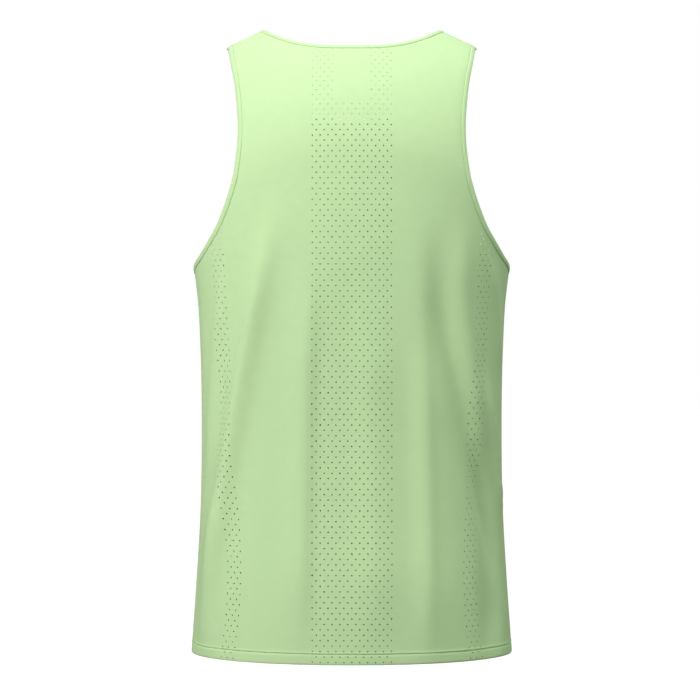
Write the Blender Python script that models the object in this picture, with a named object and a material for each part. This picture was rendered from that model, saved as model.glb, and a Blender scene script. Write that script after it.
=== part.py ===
"""Men's running singlet, filled out as it is when worn, with no wearer inside.

Units are metres, +Z is up and the wearer faces -Y, so the back of the
garment is on the +Y side and the wearer's left is at +X.  The origin lies
midway between the two shoulders, at the middle of the shoulder seams' fall,
where the wearer's shoulders carry the garment.

Every piece is cut from one cloth surface, surface_point(side, across, up):
side is BACK or FRONT, across is the distance along the cloth from the centre
line, and up is the height, measured along the cloth once it turns over the
shoulder.  The panels are walls on that surface.  The bindings are rings on
the same surface, a little thicker than the cloth that they close.
"""
import math
from collections import Counter

import bpy
import bmesh
import numpy as np

# Driving dimensions of the cut
BODY_LENGTH = 0.688         # high shoulder point straight down to the hem
NECK_HALF_WIDTH = 0.0983    # centre line to the high shoulder point
STRAP_RUN = 0.0413          # level width of a shoulder strap
SHOULDER_FALL = 0.0188      # neck end of the shoulder seam down to its tip
BACK_NECK_DROP = 0.0265     # high shoulder point down to the back neck edge
FRONT_NECK_DROP = 0.088     # high shoulder point down to the front neck edge
ARMHOLE_DEPTH = 0.2633      # high shoulder point down to the underarm
HEM_TURN = 0.012            # depth of the turned-up hem
ARMHOLE_BINDING_WIDTH = 0.006   # seam to folded edge
NECK_BINDING_WIDTH = 0.0048     # seam to folded edge

# Thicknesses and clearances
WALL = 0.0012               # cloth wall of the panels
HEM_WALL = 0.0022           # cloth and its turn-up at the hem
BINDING_RISE = 0.0005       # how far a binding stands proud, on each face
SEAM_GAP = 0.0003           # clearance between sewn pieces
HEM_STEP = 0.0015           # height over which the hem wall thins again

# Levels worked out from the cut
NECK_POINT_Z = SHOULDER_FALL / 2
HEM_Z = NECK_POINT_Z - BODY_LENGTH
UNDERARM_Z = NECK_POINT_Z - ARMHOLE_DEPTH
TIP_X = NECK_HALF_WIDTH + STRAP_RUN
SHOULDER_SLOPE = SHOULDER_FALL / STRAP_RUN

BACK = 1
FRONT = -1

# How far below the shoulder line each side has turned fully upright
SHOULDER_BEND = {BACK: 0.17, FRONT: 0.20}

# Shapes of the two neck curves, as powers: the back neck is level until it
# nears the strap, and the front neck is a rounded scoop
BACK_NECK_POWER = 3.0
FRONT_NECK_ACROSS = 2.0 / 2.3
FRONT_NECK_DOWN = 2.0 / 1.7

# Level sections of the filled garment, each a pair of half superellipses:
# height, half width, depth behind the side seams, depth in front of them
SECTION_ROUNDNESS = 2.1
SECTIONS = np.array((
    (-0.6800, 0.1778, 0.1160, 0.1110),
    (-0.6000, 0.1722, 0.1105, 0.1065),
    (-0.5200, 0.1677, 0.1045, 0.1035),
    (-0.4400, 0.1664, 0.1025, 0.1040),
    (-0.3400, 0.1680, 0.1070, 0.1100),
    (-0.2900, 0.1707, 0.1110, 0.1145),
    (-0.2500, 0.1755, 0.1135, 0.1175),
    (-0.1600, 0.1860, 0.1150, 0.1200),
    (0.0000, 0.1950, 0.1100, 0.1150),
))

# Finished armhole edges from the shoulder tip down, then on to the underarm:
# distance from the centre line, height
ARMHOLE_EDGE = {
    BACK: (
        (0.1337, -0.0273),
        (0.1268, -0.0639),
        (0.1233, -0.1087),
        (0.1267, -0.1517),
        (0.1317, -0.1730),
        (0.1392, -0.1941),
        (0.1489, -0.2151),
        (0.1626, -0.2360),
        (0.1705, -0.2462),
    ),
    FRONT: (
        (0.1318, -0.0300),
        (0.1220, -0.0660),
        (0.1160, -0.1080),
        (0.1172, -0.1430),
        (0.1225, -0.1730),
        (0.1320, -0.2000),
        (0.1450, -0.2220),
        (0.1598, -0.2385),
        (0.1690, -0.2470),
    ),
}

# Largest folds.  Each runs down a path of three places, given as distance
# along the cloth from the centre line (wearer's left is positive) and height:
# across and up at its top, middle and bottom, half width on its +across side
# and on its other side, height (a trough's height is negative)
FOLDS = {
    BACK: np.array((
        (0.080, -0.170, 0.130, -0.360, 0.200, -0.640, 0.014, 0.014, 0.0060),
        (0.045, -0.240, 0.050, -0.430, 0.055, -0.690, 0.018, 0.010, 0.0040),
        (0.145, -0.240, 0.160, -0.340, 0.180, -0.500, 0.010, 0.010, 0.0030),
        (0.160, -0.480, 0.170, -0.580, 0.180, -0.700, 0.016, 0.016, 0.0030),
        (-0.015, -0.260, -0.020, -0.440, -0.020, -0.690, 0.022, 0.035, 0.0060),
        (-0.070, -0.200, -0.075, -0.400, -0.080, -0.700, 0.020, 0.012, 0.0035),
        (-0.085, -0.300, -0.090, -0.450, -0.095, -0.710, 0.020, 0.035, 0.0050),
        (-0.090, -0.200, -0.120, -0.400, -0.210, -0.640, 0.014, 0.014, -0.0050),
        (-0.120, -0.200, -0.130, -0.320, -0.165, -0.460, 0.013, 0.012, 0.0040),
        (-0.170, -0.240, -0.185, -0.300, -0.205, -0.380, 0.009, 0.009, 0.0030),
        (-0.155, -0.360, -0.180, -0.440, -0.215, -0.540, 0.008, 0.012, 0.0045),
        (-0.150, -0.450, -0.170, -0.580, -0.165, -0.700, 0.018, 0.020, -0.0040),
    )),
    FRONT: np.array((
        (0.085, -0.170, 0.120, -0.330, 0.170, -0.540, 0.015, 0.015, 0.0040),
        (0.060, -0.200, 0.080, -0.340, 0.100, -0.620, 0.018, 0.018, -0.0030),
        (0.025, -0.250, 0.030, -0.440, 0.025, -0.690, 0.015, 0.015, 0.0025),
        (-0.015, -0.230, -0.010, -0.420, -0.020, -0.690, 0.020, 0.020, -0.0025),
        (-0.055, -0.240, -0.055, -0.430, -0.050, -0.690, 0.015, 0.015, 0.0020),
        (-0.080, -0.190, -0.100, -0.340, -0.130, -0.620, 0.018, 0.018, -0.0035),
        (-0.095, -0.180, -0.125, -0.330, -0.170, -0.520, 0.014, 0.014, 0.0045),
        (0.145, -0.440, 0.150, -0.570, 0.155, -0.700, 0.016, 0.016, 0.0020),
        (-0.145, -0.450, -0.145, -0.580, -0.150, -0.700, 0.018, 0.018, -0.0020),
    )),
}
FOLD_TAPER = 0.28           # share of a fold's length that each end takes
SIDE_FADE = 0.030           # folds die out over this distance to a side seam

# Corners of a binding's cross-section.  across: share of the binding's width
# from its seam (0) to its folded edge (1).  off: height off the cloth's outer
# face, as shares of the rise above it and of the depth below it
BINDING_CORNERS = (
    # across, rise, depth
    (0.00, 0.0, 0.35),
    (0.00, 0.4, 0.0),
    (0.25, 1.0, 0.0),
    (0.85, 1.0, 0.0),
    (1.00, 0.0, 0.35),
    (0.85, 0.0, 1.0),
    (0.25, 0.0, 1.0),
    (0.00, 0.0, 0.85),
)

# Mesh spans of half a panel: along its neck edge, across the back's strap,
# across the whole front, up the side seam above the hem, and up the armhole
SPANS_NECK = {BACK: 20, FRONT: 13}
SPANS_STRAP = 6
SPANS_FRONT = 16
ROWS_SIDE = {BACK: 17, FRONT: 14}
ROWS_ARMHOLE = {BACK: 20, FRONT: 22}
ROW_BLEND = 2.5             # how late the level rows bend up to the top edge

# Samples of a quarter section, of an edge path, of one span of a smooth
# curve and of a neck curve
ARC_SAMPLES = 65
EDGE_SAMPLES = 240
SPAN_SAMPLES = 24
NECK_SAMPLES = 40

STEP = 0.0002               # for slopes taken by differences
INSIDE = (0.0, 0.0, -0.3)   # a place in the hollow, which tells in from out
CREASE_ANGLE = math.radians(50)

JERSEY_COLOUR = (0.56, 0.78, 0.41, 1.0)
BINDING_COLOUR = (0.52, 0.75, 0.38, 1.0)
CLOTH_ROUGHNESS = 0.75


def eased(share):
    """Smooth rise from 0 to 1."""
    share = np.clip(share, 0.0, 1.0)
    return share * share * (3.0 - 2.0 * share)


def through_rows(heights, rows, level):
    """Smooth curve through a column of a table, read at any level."""
    slopes = np.gradient(rows, heights)
    index = np.clip(np.searchsorted(heights, level) - 1, 0, len(heights) - 2)
    span = heights[index + 1] - heights[index]
    share = np.clip((level - heights[index]) / span, 0.0, 1.0)
    rise = rows[index + 1] - rows[index]
    bow_low = slopes[index] * span - rise
    bow_high = rise - slopes[index + 1] * span
    curve = share * (1.0 - share) * (bow_low * (1.0 - share) + bow_high * share)
    return rows[index] + rise * share + curve


def section(side, level):
    """Half width and depth of the level section at a height."""
    column = 2 if side == BACK else 3
    level = np.clip(level, SECTIONS[0, 0], 0.0)
    half_width = through_rows(SECTIONS[:, 0], SECTIONS[:, 1], level)
    depth = through_rows(SECTIONS[:, 0], SECTIONS[:, column], level)
    return half_width, depth


def section_arc(half_width, depth):
    """Distances along a quarter section, from the centre line to the side."""
    turn = np.linspace(0.0, math.pi / 2, ARC_SAMPLES)
    power = 2.0 / SECTION_ROUNDNESS
    x = half_width[:, None] * np.sin(turn) ** power
    y = depth[:, None] * np.cos(turn).clip(0.0) ** power
    steps = np.hypot(np.diff(x, axis=1), np.diff(y, axis=1))
    arc = np.zeros_like(x)
    arc[:, 1:] = np.cumsum(steps, axis=1)
    return turn, arc


def side_distance(side, level):
    """Distance along the cloth from the centre line to the side seam."""
    half_width, depth = section(side, np.atleast_1d(level))
    return section_arc(half_width, depth)[1][:, -1]


def section_turn(side, across, level):
    """Angle round the section that a distance along the cloth reaches."""
    half_width, depth = section(side, level)
    turn, arc = section_arc(half_width, depth)
    reach = np.clip(np.abs(across), 0.0, arc[:, -1])
    index = np.clip((arc < reach[:, None]).sum(axis=1) - 1, 0, ARC_SAMPLES - 2)
    rows = np.arange(len(reach))
    start = arc[rows, index]
    share = (reach - start) / (arc[rows, index + 1] - start)
    return half_width, depth, turn[index] + share * (turn[1] - turn[0])


def shoulder_line(x):
    """Height of the shoulder line, closed with a low crown over the neck."""
    x = np.abs(x)
    crown = (NECK_HALF_WIDTH ** 2 - np.minimum(x, NECK_HALF_WIDTH) ** 2) / (2 * NECK_HALF_WIDTH)
    fall = np.maximum(x - NECK_HALF_WIDTH, 0.0)
    return NECK_POINT_Z + SHOULDER_SLOPE * (crown - fall)


def form_point(side, across, up):
    """Point of the smooth form, before the folds."""
    half_width, depth, turn = section_turn(side, across, np.minimum(up, 0.0))
    power = 2.0 / SECTION_ROUNDNESS
    x = np.sign(across) * half_width * np.sin(turn) ** power
    reach = depth * np.cos(turn).clip(0.0) ** power
    bend = SHOULDER_BEND[side]
    line = shoulder_line(x)
    tilt = (line - bend - up) / bend + math.pi / 2
    tilt = np.clip(tilt, 0.0, math.pi / 2)
    upright = tilt >= math.pi / 2
    z = np.where(upright, up, line - bend * (1.0 - np.cos(tilt)))
    return np.stack((x, side * reach * np.sin(tilt), z), axis=-1)


def fold_height(side, across, up):
    """How far the folds lift the cloth off the smooth form."""
    total = np.zeros_like(across)
    for top_s, top_h, mid_s, mid_h, low_s, low_h, half, other_half, height in FOLDS[side]:
        share = (top_h - up) / (top_h - low_h)
        mid_share = (top_h - mid_h) / (top_h - low_h)
        chord = top_s + (low_s - top_s) * share
        bow = mid_s - (top_s + (low_s - top_s) * mid_share)
        path = chord + bow * share * (1.0 - share) / (mid_share * (1.0 - mid_share))
        lean = (low_s - top_s) / (top_h - low_h)
        away = (across - path) / math.hypot(1.0, lean)
        width = np.where(away > 0.0, half, other_half)
        ends = eased(share / FOLD_TAPER) * eased((1.0 - share) / FOLD_TAPER)
        total += height * ends * np.exp(-(away / width) ** 2)
    margin = side_distance(side, np.minimum(up, 0.0)) - np.abs(across)
    return total * eased(margin / SIDE_FADE)


def inward_step(across):
    """A small step towards the centre line, which never leaves the panel."""
    return np.where(across >= 0.0, -STEP, STEP)


def outward(side, point_at, across, up):
    """Unit vector out of the cloth, from two short steps along it."""
    here = point_at(side, across, up)
    step = inward_step(across)
    along = (point_at(side, across + step, up) - here) / step[:, None]
    rise = (here - point_at(side, across, up - STEP)) / STEP
    normal = np.cross(rise, along) * side
    normal *= np.sign((normal * (here - INSIDE)).sum(axis=1))[:, None]
    return normal / np.linalg.norm(normal, axis=1)[:, None]


def surface_point(side, across, up):
    """Point of the cloth's outer face, folds and all."""
    across = np.asarray(across, dtype=float)
    up = np.asarray(up, dtype=float)
    lift = fold_height(side, across, up)[:, None]
    return form_point(side, across, up) + outward(side, form_point, across, up) * lift


def lifted(side, across, up, height):
    """Point a given height off the cloth's outer face, inwards if negative."""
    base = surface_point(side, across, up)
    return base + outward(side, surface_point, across, up) * height


def shoulder_up(side, across, clearance=0.0):
    """The up coordinate of the shoulder seam, or of its cleared edge."""
    _, depth, turn = section_turn(side, np.atleast_1d(across), np.zeros(1))
    point = form_point(side, np.atleast_1d(across), np.full(1, -0.01))
    bend = SHOULDER_BEND[side]
    reach = depth * np.cos(turn) ** (2.0 / SECTION_ROUNDNESS)
    seam = shoulder_line(point[:, 0]) + bend * (math.pi / 2 - 1.0)
    return (seam - clearance * bend / reach)[0]


def flatten(side, x, z):
    """Cloth coordinates of a place given by distance from centre and height."""
    half_width, depth = section(side, np.full(1, min(z, 0.0)))
    turn, arc = section_arc(half_width, depth)
    share = np.clip(x / half_width[0], 0.0, 1.0)
    angle = math.asin(share ** (SECTION_ROUNDNESS / 2.0))
    across = np.interp(angle, turn, arc[0])
    bend = SHOULDER_BEND[side]
    fall = shoulder_line(x) - z
    if fall >= bend:
        return across, z
    tilt = math.acos(1.0 - max(fall, 0.0) / bend)
    return across, z + fall - bend + bend * (math.pi / 2 - tilt)


def smooth_path(places, samples):
    """Even samples of a smooth curve through a few places."""
    places = np.asarray(places, dtype=float)
    padded = np.vstack((2 * places[0] - places[1], places, 2 * places[-1] - places[-2]))
    pieces = []
    for a, b, c, d in zip(padded, padded[1:], padded[2:], padded[3:]):
        share = np.linspace(0.0, 1.0, SPAN_SAMPLES, endpoint=False)[:, None]
        pieces.append(0.5 * (2 * b + (c - a) * share
                             + (2 * a - 5 * b + 4 * c - d) * share ** 2
                             + (3 * b - a - 3 * c + d) * share ** 3))
    return even_samples(np.vstack(pieces + [places[-1:]]), samples)


def even_samples(path, samples):
    """The same path with evenly spaced samples."""
    length = np.zeros(len(path))
    length[1:] = np.cumsum(np.linalg.norm(np.diff(path, axis=0), axis=1))
    marks = np.linspace(0.0, length[-1], samples)
    return np.stack([np.interp(marks, length, path[:, k]) for k in (0, 1)], axis=1)


def armhole_edge(side):
    """Finished armhole edge in cloth coordinates, shoulder tip to underarm."""
    places = [flatten(side, TIP_X, NECK_POINT_Z - SHOULDER_FALL)]
    places += [flatten(side, x, z) for x, z in ARMHOLE_EDGE[side]]
    places.append((side_distance(side, UNDERARM_Z)[0], UNDERARM_Z))
    mirror = (2 * places[-1][0] - places[-2][0], places[-2][1])
    path = smooth_path(places + [mirror], 2 * EDGE_SAMPLES)
    path = path[path[:, 0] <= places[-1][0]]
    path = np.vstack((path, places[-1]))
    return even_samples(path, EDGE_SAMPLES)


def neck_edge(side):
    """Finished neck edge in cloth coordinates, centre line to shoulder."""
    if side == BACK:
        share = np.linspace(0.0, 1.0, NECK_SAMPLES)
        drop = BACK_NECK_DROP * (1.0 - share ** BACK_NECK_POWER)
    else:
        angle = np.linspace(0.0, math.pi / 2, NECK_SAMPLES)
        share = np.sin(angle) ** FRONT_NECK_ACROSS
        drop = FRONT_NECK_DROP * np.cos(angle).clip(0.0) ** FRONT_NECK_DOWN
    path = [flatten(side, NECK_HALF_WIDTH * k, NECK_POINT_Z - d) for k, d in zip(share, drop)]
    return even_samples(np.array(path), EDGE_SAMPLES)


def moved_in(path, distance):
    """The path moved into the cloth by a distance, at every sample."""
    tangent = np.gradient(path, axis=0)
    tangent /= np.linalg.norm(tangent, axis=1)[:, None]
    return path + distance * np.stack((tangent[:, 1], -tangent[:, 0]), axis=1)


def stations(path, count):
    """Evenly picked stations of an edge path, count spans in all."""
    return path[np.linspace(0, EDGE_SAMPLES - 1, count + 1).round().astype(int)]


def armhole_inset(side, distance, clearance=0.0):
    """The armhole edge moved in, with its ends on the seams that it meets."""
    path = stations(moved_in(armhole_edge(side), distance), ROWS_ARMHOLE[side])
    path[0, 1] = shoulder_up(side, path[0, 0], clearance)
    path[-1, 0] = side_distance(side, path[-1, 1])[0] - clearance
    return path


def neck_inset(side, distance, clearance=0.0):
    """The neck edge moved in, from the centre line to the shoulder seam."""
    path = stations(moved_in(neck_edge(side), distance), SPANS_NECK[side])
    path[0, 0] = 0.0
    path[-1, 1] = shoulder_up(side, path[-1, 0], clearance)
    return path


def shoulder_edge(side, neck_end, tip_end, spans):
    """The cleared shoulder edge between two distances from the centre."""
    across = np.linspace(neck_end, tip_end, spans + 1)
    return np.array([(s, shoulder_up(side, s, SEAM_GAP / 2)) for s in across])


def panel_frame(side):
    """Border of half a panel: its inner, top and outer paths from the hem.

    The shallow back neck is part of the top.  The deep front neck carries on
    from the centre line, so that only the shoulder seam is on top.
    """
    armhole = armhole_inset(side, ARMHOLE_BINDING_WIDTH + SEAM_GAP, SEAM_GAP / 2)
    neck = neck_inset(side, NECK_BINDING_WIDTH + SEAM_GAP, SEAM_GAP / 2)
    turn_up = (HEM_Z, HEM_Z + HEM_TURN)
    plain = HEM_Z + HEM_TURN + HEM_STEP
    seam_up = np.concatenate((turn_up, np.linspace(plain, armhole[-1, 1], ROWS_SIDE[side] + 1)))
    seam = np.stack((side_distance(side, seam_up) - SEAM_GAP / 2, seam_up), axis=1)
    outer = np.vstack((seam, armhole[-2::-1]))
    rows = len(outer) if side == BACK else len(outer) - SPANS_NECK[side]
    centre_up = np.concatenate((turn_up, np.linspace(plain, neck[0, 1], rows - 2)))
    centre = np.stack((np.zeros(rows), centre_up), axis=1)
    if side == BACK:
        strap = shoulder_edge(side, neck[-1, 0], armhole[0, 0], SPANS_STRAP)
        return centre, np.vstack((neck, strap[1:])), outer
    strap = shoulder_edge(side, neck[-1, 0], armhole[0, 0], SPANS_FRONT)
    return np.vstack((centre, neck[1:])), strap, outer


def panel_grid(side):
    """Cloth coordinates of half a panel: rows from the hem, columns outwards."""
    inner, top, outer = panel_frame(side)
    across_share = np.linspace(0.0, 1.0, len(top))[None, :, None]
    up_share = np.linspace(0.0, 1.0, len(outer))[:, None, None] ** ROW_BLEND
    ruled = inner[:, None, :] * (1.0 - across_share) + outer[:, None, :] * across_share
    return ruled + up_share * (top[None, :, :] - ruled[-1:, :, :])


def panel_cells(half):
    """Cloth coordinates and cells of a whole panel, joined on the centre line."""
    rows, columns = half.shape[:2]
    places = [tuple(place) for place in half.reshape(-1, 2)]
    left = np.arange(rows * columns).reshape(rows, columns)
    right = left.copy()
    for row, column in np.ndindex(rows, columns):
        across, up = half[row, column]
        if across > STEP:
            right[row, column] = len(places)
            places.append((-across, up))
    cells = []
    for grid in (left, right):
        for row, column in np.ndindex(rows - 1, columns - 1):
            cells.append((grid[row, column], grid[row, column + 1],
                          grid[row + 1, column + 1], grid[row + 1, column]))
    return np.array(places), cells


def new_object(name, vertices, faces, material, parent):
    """A named mesh object with its faces pointing out."""
    mesh = bpy.data.meshes.new(name)
    shape = bmesh.new()
    points = [shape.verts.new(point) for point in vertices]
    for face in faces:
        shape.faces.new([points[k] for k in face])
    bmesh.ops.recalc_face_normals(shape, faces=shape.faces[:])
    bmesh.ops.triangulate(shape, faces=shape.faces[:], quad_method='SHORT_EDGE')
    shape.to_mesh(mesh)
    shape.free()
    mesh.materials.append(material)
    mesh.shade_smooth()
    mesh.set_sharp_from_angle(angle=CREASE_ANGLE)
    obj = bpy.data.objects.new(name, mesh)
    obj.parent = parent
    bpy.context.scene.collection.objects.link(obj)
    return obj


def wall_faces(count, cells):
    """Faces of a closed wall: outer cells, inner cells and the rim between."""
    sides = Counter(frozenset(side) for cell in cells for side in zip(cell, cell[1:] + cell[:1]))
    rim = [tuple(side) for side, uses in sides.items() if uses == 1]
    inner = [tuple(corner + count for corner in cell) for cell in cells]
    return cells + inner + [(a, b, b + count, a + count) for a, b in rim]


def make_panel(name, side, material, parent):
    """A front or back panel: a cloth wall, thicker along its turned-up hem."""
    places, cells = panel_cells(panel_grid(side))
    across, up = places.T
    in_hem = up < HEM_Z + HEM_TURN + HEM_STEP / 2
    thickness = np.where(in_hem, HEM_WALL, WALL)[:, None]
    outer = surface_point(side, across, up)
    inner = lifted(side, across, up, -thickness)
    points = np.vstack((outer, inner))
    return new_object(name, points, wall_faces(len(places), cells), material, parent)


def binding_section(side, edge, inner, sign):
    """Cross-sections along one side of a binding."""
    rings = []
    for across, rise, depth in BINDING_CORNERS:
        path = inner + (edge - inner) * across
        height = rise * BINDING_RISE - depth * (WALL + BINDING_RISE)
        rings.append(lifted(side, sign * path[:, 0], path[:, 1], height))
    return np.stack(rings, axis=1)


def ring_faces(rings, corners):
    """Faces of a closed ring of closed sections."""
    faces = []
    for station in range(rings):
        following = (station + 1) % rings
        for corner in range(corners):
            beside = (corner + 1) % corners
            faces.append((station * corners + corner, following * corners + corner,
                          following * corners + beside, station * corners + beside))
    return faces


def make_ring(name, rings, material, parent):
    """A binding: closed sections, joined all the way round."""
    faces = ring_faces(rings.shape[0], rings.shape[1])
    return new_object(name, rings.reshape(-1, 3), faces, material, parent)


def make_armhole_binding(name, sign, material, parent):
    """The binding of one armhole, down the back and up the front."""
    halves = []
    for side in (BACK, FRONT):
        edge = stations(armhole_edge(side), ROWS_ARMHOLE[side])
        inner = armhole_inset(side, ARMHOLE_BINDING_WIDTH)
        halves.append(binding_section(side, edge, inner, sign))
    rings = np.concatenate((halves[0], halves[1][-2:0:-1]))
    return make_ring(name, rings, material, parent)


def make_neck_binding(name, material, parent):
    """The neck binding, right round the back and the front."""
    quarters = []
    for side, sign in ((BACK, 1), (FRONT, 1), (FRONT, -1), (BACK, -1)):
        edge = stations(neck_edge(side), SPANS_NECK[side])
        inner = neck_inset(side, NECK_BINDING_WIDTH)
        quarter = binding_section(side, edge, inner, sign)
        outwards = (side == BACK) == (sign == 1)
        quarters.append(quarter[:-1] if outwards else quarter[:0:-1])
    return make_ring(name, np.concatenate(quarters), material, parent)


def cloth_material(name, colour):
    """Matt knitted polyester."""
    material = bpy.data.materials.new(name)
    material.use_nodes = True
    shader = material.node_tree.nodes['Principled BSDF']
    shader.inputs['Base Color'].default_value = colour
    shader.inputs['Roughness'].default_value = CLOTH_ROUGHNESS
    shader.inputs['Metallic'].default_value = 0.0
    material.diffuse_color = colour
    return material


def clear_scene():
    """Remove whatever the file opened with."""
    for obj in list(bpy.data.objects):
        bpy.data.objects.remove(obj, do_unlink=True)


def main():
    """Cut and sew the singlet."""
    clear_scene()
    parent = bpy.data.objects.new('singlet', None)
    bpy.context.scene.collection.objects.link(parent)
    jersey = cloth_material('lime_jersey', JERSEY_COLOUR)
    rib = cloth_material('lime_binding', BINDING_COLOUR)
    make_panel('back', BACK, jersey, parent)
    make_panel('front', FRONT, jersey, parent)
    make_neck_binding('neck_binding', rib, parent)
    make_armhole_binding('armhole_binding_left', 1, rib, parent)
    make_armhole_binding('armhole_binding_right', -1, rib, parent)


main()
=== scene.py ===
"""Men's running singlet, sewn over its packed solids and set in a pale studio.

Metres, +Z up.  The wearer faces -Y, so the back panel is at +Y, and the
wearer's left is at +X.  The origin lies midway between the two shoulders.

Every piece is cut from one cloth surface, surface_point(side, across, up):
side is BACK or FRONT, across is the distance along the cloth from the centre
line, and up is the height, measured along the cloth once it turns over the
shoulder.
"""
import math
from collections import Counter

import bpy
import numpy as np
from bpy.props import FloatProperty, FloatVectorProperty, PointerProperty, StringProperty
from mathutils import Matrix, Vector


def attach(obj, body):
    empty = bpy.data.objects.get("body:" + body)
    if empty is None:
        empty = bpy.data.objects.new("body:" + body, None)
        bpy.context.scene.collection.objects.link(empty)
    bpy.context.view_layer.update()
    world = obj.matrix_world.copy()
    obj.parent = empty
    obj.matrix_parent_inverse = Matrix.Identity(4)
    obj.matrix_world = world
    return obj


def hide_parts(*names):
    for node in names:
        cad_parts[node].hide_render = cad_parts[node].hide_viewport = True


bl_info = {
    "name": "Running Singlet",
    "version": (1, 0, 0),
    "blender": (4, 5, 0),
    "location": "3D View > Sidebar > Singlet",
    "description": "Sews a running singlet over its solids and sets up its studio",
    "category": "Object",
}

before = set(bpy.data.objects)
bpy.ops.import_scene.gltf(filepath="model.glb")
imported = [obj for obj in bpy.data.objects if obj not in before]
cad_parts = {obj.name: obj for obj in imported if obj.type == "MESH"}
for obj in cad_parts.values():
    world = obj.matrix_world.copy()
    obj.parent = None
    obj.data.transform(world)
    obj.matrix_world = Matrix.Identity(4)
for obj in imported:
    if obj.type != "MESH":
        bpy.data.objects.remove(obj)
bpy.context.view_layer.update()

# Driving dimensions of the cut
BODY_LENGTH = 0.688         # high shoulder point straight down to the hem
NECK_HALF_WIDTH = 0.0983    # centre line to the high shoulder point
STRAP_RUN = 0.0413          # level width of a shoulder strap
SHOULDER_FALL = 0.0188      # neck end of the shoulder seam down to its tip
BACK_NECK_DROP = 0.0265     # high shoulder point down to the back neck edge
FRONT_NECK_DROP = 0.088     # high shoulder point down to the front neck edge
ARMHOLE_DEPTH = 0.2633      # high shoulder point down to the underarm
HEM_TURN = 0.012            # depth of the turned-up hem
SEAM_GAP = 0.00004          # clearance between sewn pieces, too fine to see through

# Levels worked out from the cut
NECK_POINT_Z = SHOULDER_FALL / 2
HEM_Z = NECK_POINT_Z - BODY_LENGTH
UNDERARM_Z = NECK_POINT_Z - ARMHOLE_DEPTH
TIP_X = NECK_HALF_WIDTH + STRAP_RUN
SHOULDER_SLOPE = SHOULDER_FALL / STRAP_RUN

BACK = 1
FRONT = -1
ARMHOLES = (("left", 1), ("right", -1))     # the wearer's side, sign of its across

# How far below the shoulder line each side has turned fully upright
SHOULDER_BEND = {BACK: 0.17, FRONT: 0.20}

# Shapes of the two neck curves, as powers
BACK_NECK_POWER = 3.0
FRONT_NECK_ACROSS = 2.0 / 2.3
FRONT_NECK_DOWN = 2.0 / 1.7

# Level sections of the filled garment, each a pair of half superellipses:
# height, half width, depth behind the side seams, depth in front of them
SECTION_ROUNDNESS = 2.1
SECTIONS = np.array((
    (-0.6800, 0.1778, 0.1160, 0.1110),
    (-0.6000, 0.1722, 0.1105, 0.1065),
    (-0.5200, 0.1677, 0.1045, 0.1035),
    (-0.4400, 0.1664, 0.1025, 0.1040),
    (-0.3400, 0.1680, 0.1070, 0.1100),
    (-0.2900, 0.1707, 0.1110, 0.1145),
    (-0.2500, 0.1755, 0.1135, 0.1175),
    (-0.1600, 0.1860, 0.1150, 0.1200),
    (0.0000, 0.1950, 0.1100, 0.1150),
))

# Finished armhole edges from the shoulder tip down, then on to the underarm:
# distance from the centre line, height
ARMHOLE_EDGE = {
    BACK: (
        (0.1337, -0.0273),
        (0.1268, -0.0639),
        (0.1233, -0.1087),
        (0.1267, -0.1517),
        (0.1317, -0.1730),
        (0.1392, -0.1941),
        (0.1489, -0.2151),
        (0.1626, -0.2360),
        (0.1705, -0.2462),
    ),
    FRONT: (
        (0.1318, -0.0300),
        (0.1220, -0.0660),
        (0.1160, -0.1080),
        (0.1172, -0.1430),
        (0.1225, -0.1730),
        (0.1320, -0.2000),
        (0.1450, -0.2220),
        (0.1598, -0.2385),
        (0.1690, -0.2470),
    ),
}

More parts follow.
